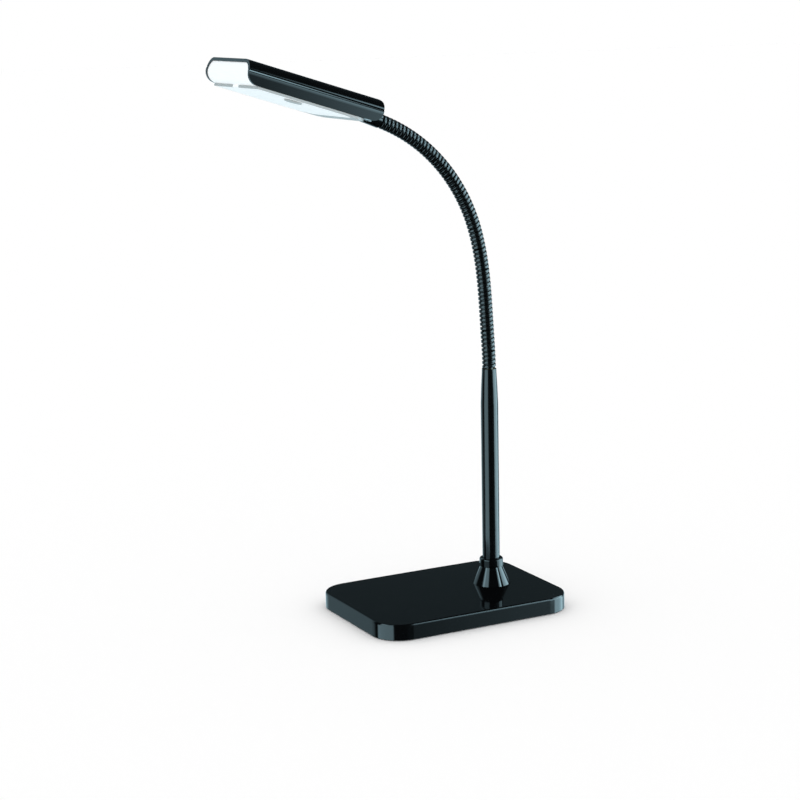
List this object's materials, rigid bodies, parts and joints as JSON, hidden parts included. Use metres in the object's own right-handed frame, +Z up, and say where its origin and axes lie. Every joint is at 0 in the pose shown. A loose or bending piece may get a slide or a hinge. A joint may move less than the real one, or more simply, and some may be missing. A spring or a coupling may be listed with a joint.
{
  "type": "gooseneck desk lamp",
  "caption": "Desk lamp with a weighted rectangular base, a short post, a flexible coil neck and an arched LED head with a push switch.",
  "frame": {"origin": "middle of the flat foam pad under the base, on the desk", "axes": "+Z up, +X along the base towards the post, so the head reaches out over -X; the lamp is symmetric about the XZ plane but for its button"},
  "size_m": [0.2501, 0.123, 0.4293],
  "materials": {
    "black_gloss": "gloss black, faintly blue",
    "black_enamel": "gloss black enamel",
    "satin_grey": "pale grey, satin",
    "neck_black": "black plated spring wire, semi-gloss",
    "opal": "opal white, satin",
    "white_plastic": "matte white",
    "rubber": "matte black",
    "foam": "matte black foam",
    "steel": "zinc plated",
    "brass": "turned",
    "iron": "raw cast",
    "board": "green solder mask",
    "board_white": "white solder mask on aluminium",
    "component": "black epoxy",
    "phosphor": "yellow phosphor"
  },
  "bodies": {
    "base": {"base_cover": "black_gloss", "base_pad": "foam", "base_plate": "steel", "ballast_weight": "iron", "base_screws": "steel", "cord_gland": "rubber", "driver_board": "board", "driver_components": "component", "driver_screws": "steel", "collar_cone": "black_gloss", "collar_ring": "black_gloss", "post_tube": "black_enamel", "mounting_stud": "steel", "stud_washer": "steel", "stud_nut": "steel", "post_bushing": "brass", "neck_segment_1": "neck_black"},
    "neck_2": {"neck_segment_2": "neck_black"},
    "neck_3": {"neck_segment_3": "neck_black"},
    "neck_4": {"neck_segment_4": "neck_black"},
    "neck_5": {"neck_segment_5": "neck_black"},
    "neck_6": {"neck_segment_6": "neck_black"},
    "neck_7": {"neck_segment_7": "neck_black"},
    "neck_8": {"neck_segment_8": "neck_black"},
    "neck_9": {"neck_segment_9": "neck_black"},
    "neck_10": {"neck_segment_10": "neck_black"},
    "neck_11": {"neck_segment_11": "neck_black"},
    "neck_12": {"neck_segment_12": "neck_black"},
    "neck_13": {"neck_segment_13": "neck_black"},
    "head": {"neck_segment_14": "neck_black", "neck_ferrule": "black_enamel", "ferrule_washer": "steel", "ferrule_nut": "steel", "head_shell": "black_gloss", "front_cap": "opal", "rear_cap": "black_gloss", "rear_cap_screws": "steel", "panel_frame": "satin_grey", "diffuser_panel": "opal", "light_box": "white_plastic", "led_board": "board_white", "led_packages": "phosphor", "led_board_screws": "steel", "switch_body": "component"},
    "switch_button": {"switch_button": "satin_grey"}
  },
  "joints": [
    {"name": "lower_bend", "type": "hinge", "parent": "base", "child": "neck_2", "pos_m": [0.04202, 0, 0.20139], "axis": [0, -1, 0], "range_deg": [-9, 9]},
    {"name": "lower_side_bend", "type": "hinge", "parent": "neck_2", "child": "neck_3", "pos_m": [0.04108, 0, 0.21736], "axis": [0.9982, 0, 0.0593], "range_deg": [-9, 9]},
    {"name": "lower_bend_3", "type": "hinge", "parent": "neck_3", "child": "neck_4", "pos_m": [0.04013, 0, 0.23333], "axis": [0, -1, 0], "range_deg": [-9, 9]},
    {"name": "lower_side_bend_4", "type": "hinge", "parent": "neck_4", "child": "neck_5", "pos_m": [0.03898, 0, 0.24929], "axis": [0.9965, 0, 0.0837], "range_deg": [-9, 9]},
    {"name": "lower_bend_5", "type": "hinge", "parent": "neck_5", "child": "neck_6", "pos_m": [0.03726, 0, 0.2652], "axis": [0, -1, 0], "range_deg": [-9, 9]},
    {"name": "lower_side_bend_6", "type": "hinge", "parent": "neck_6", "child": "neck_7", "pos_m": [0.03456, 0, 0.28097], "axis": [0.9789, 0, 0.2045], "range_deg": [-9, 9]},
    {"name": "upper_bend", "type": "hinge", "parent": "neck_7", "child": "neck_8", "pos_m": [0.03053, 0, 0.29644], "axis": [0, -1, 0], "range_deg": [-9, 9]},
    {"name": "upper_side_bend", "type": "hinge", "parent": "neck_8", "child": "neck_9", "pos_m": [0.02482, 0, 0.31138], "axis": [0.9107, 0, 0.4131], "range_deg": [-9, 9]},
    {"name": "upper_bend_9", "type": "hinge", "parent": "neck_9", "child": "neck_10", "pos_m": [0.01734, 0, 0.32551], "axis": [0, -1, 0], "range_deg": [-9, 9]},
    {"name": "upper_side_bend_10", "type": "hinge", "parent": "neck_10", "child": "neck_11", "pos_m": [0.00819, 0, 0.33863], "axis": [0.7837, 0, 0.6211], "range_deg": [-9, 9]},
    {"name": "upper_bend_11", "type": "hinge", "parent": "neck_11", "child": "neck_12", "pos_m": [-0.00248, 0, 0.35053], "axis": [0, -1, 0], "range_deg": [-9, 9]},
    {"name": "upper_side_bend_12", "type": "hinge", "parent": "neck_12", "child": "neck_13", "pos_m": [-0.01453, 0, 0.36104], "axis": [0.6101, 0, 0.7923], "range_deg": [-9, 9]},
    {"name": "upper_bend_13", "type": "hinge", "parent": "neck_13", "child": "head", "pos_m": [-0.02778, 0, 0.37], "axis": [0, -1, 0], "range_deg": [-9, 9]},
    {"name": "button_press", "type": "slide", "parent": "head", "child": "switch_button", "axis": [0.3007, 0, 0.9537], "range_m": [0, 0.0008], "stiffness_N_per_m": 800, "springref_m": -0.0008}
  ],
  "couplings": [
    {"joint": "lower_bend_3", "follows": "lower_bend", "ratio": 1},
    {"joint": "lower_side_bend_4", "follows": "lower_side_bend", "ratio": 1},
    {"joint": "lower_bend_5", "follows": "lower_bend", "ratio": 1},
    {"joint": "lower_side_bend_6", "follows": "lower_side_bend", "ratio": 1},
    {"joint": "upper_bend_9", "follows": "upper_bend", "ratio": 1},
    {"joint": "upper_side_bend_10", "follows": "upper_side_bend", "ratio": 1},
    {"joint": "upper_bend_11", "follows": "upper_bend", "ratio": 1},
    {"joint": "upper_side_bend_12", "follows": "upper_side_bend", "ratio": 1},
    {"joint": "upper_bend_13", "follows": "upper_bend", "ratio": 1}
  ]
}
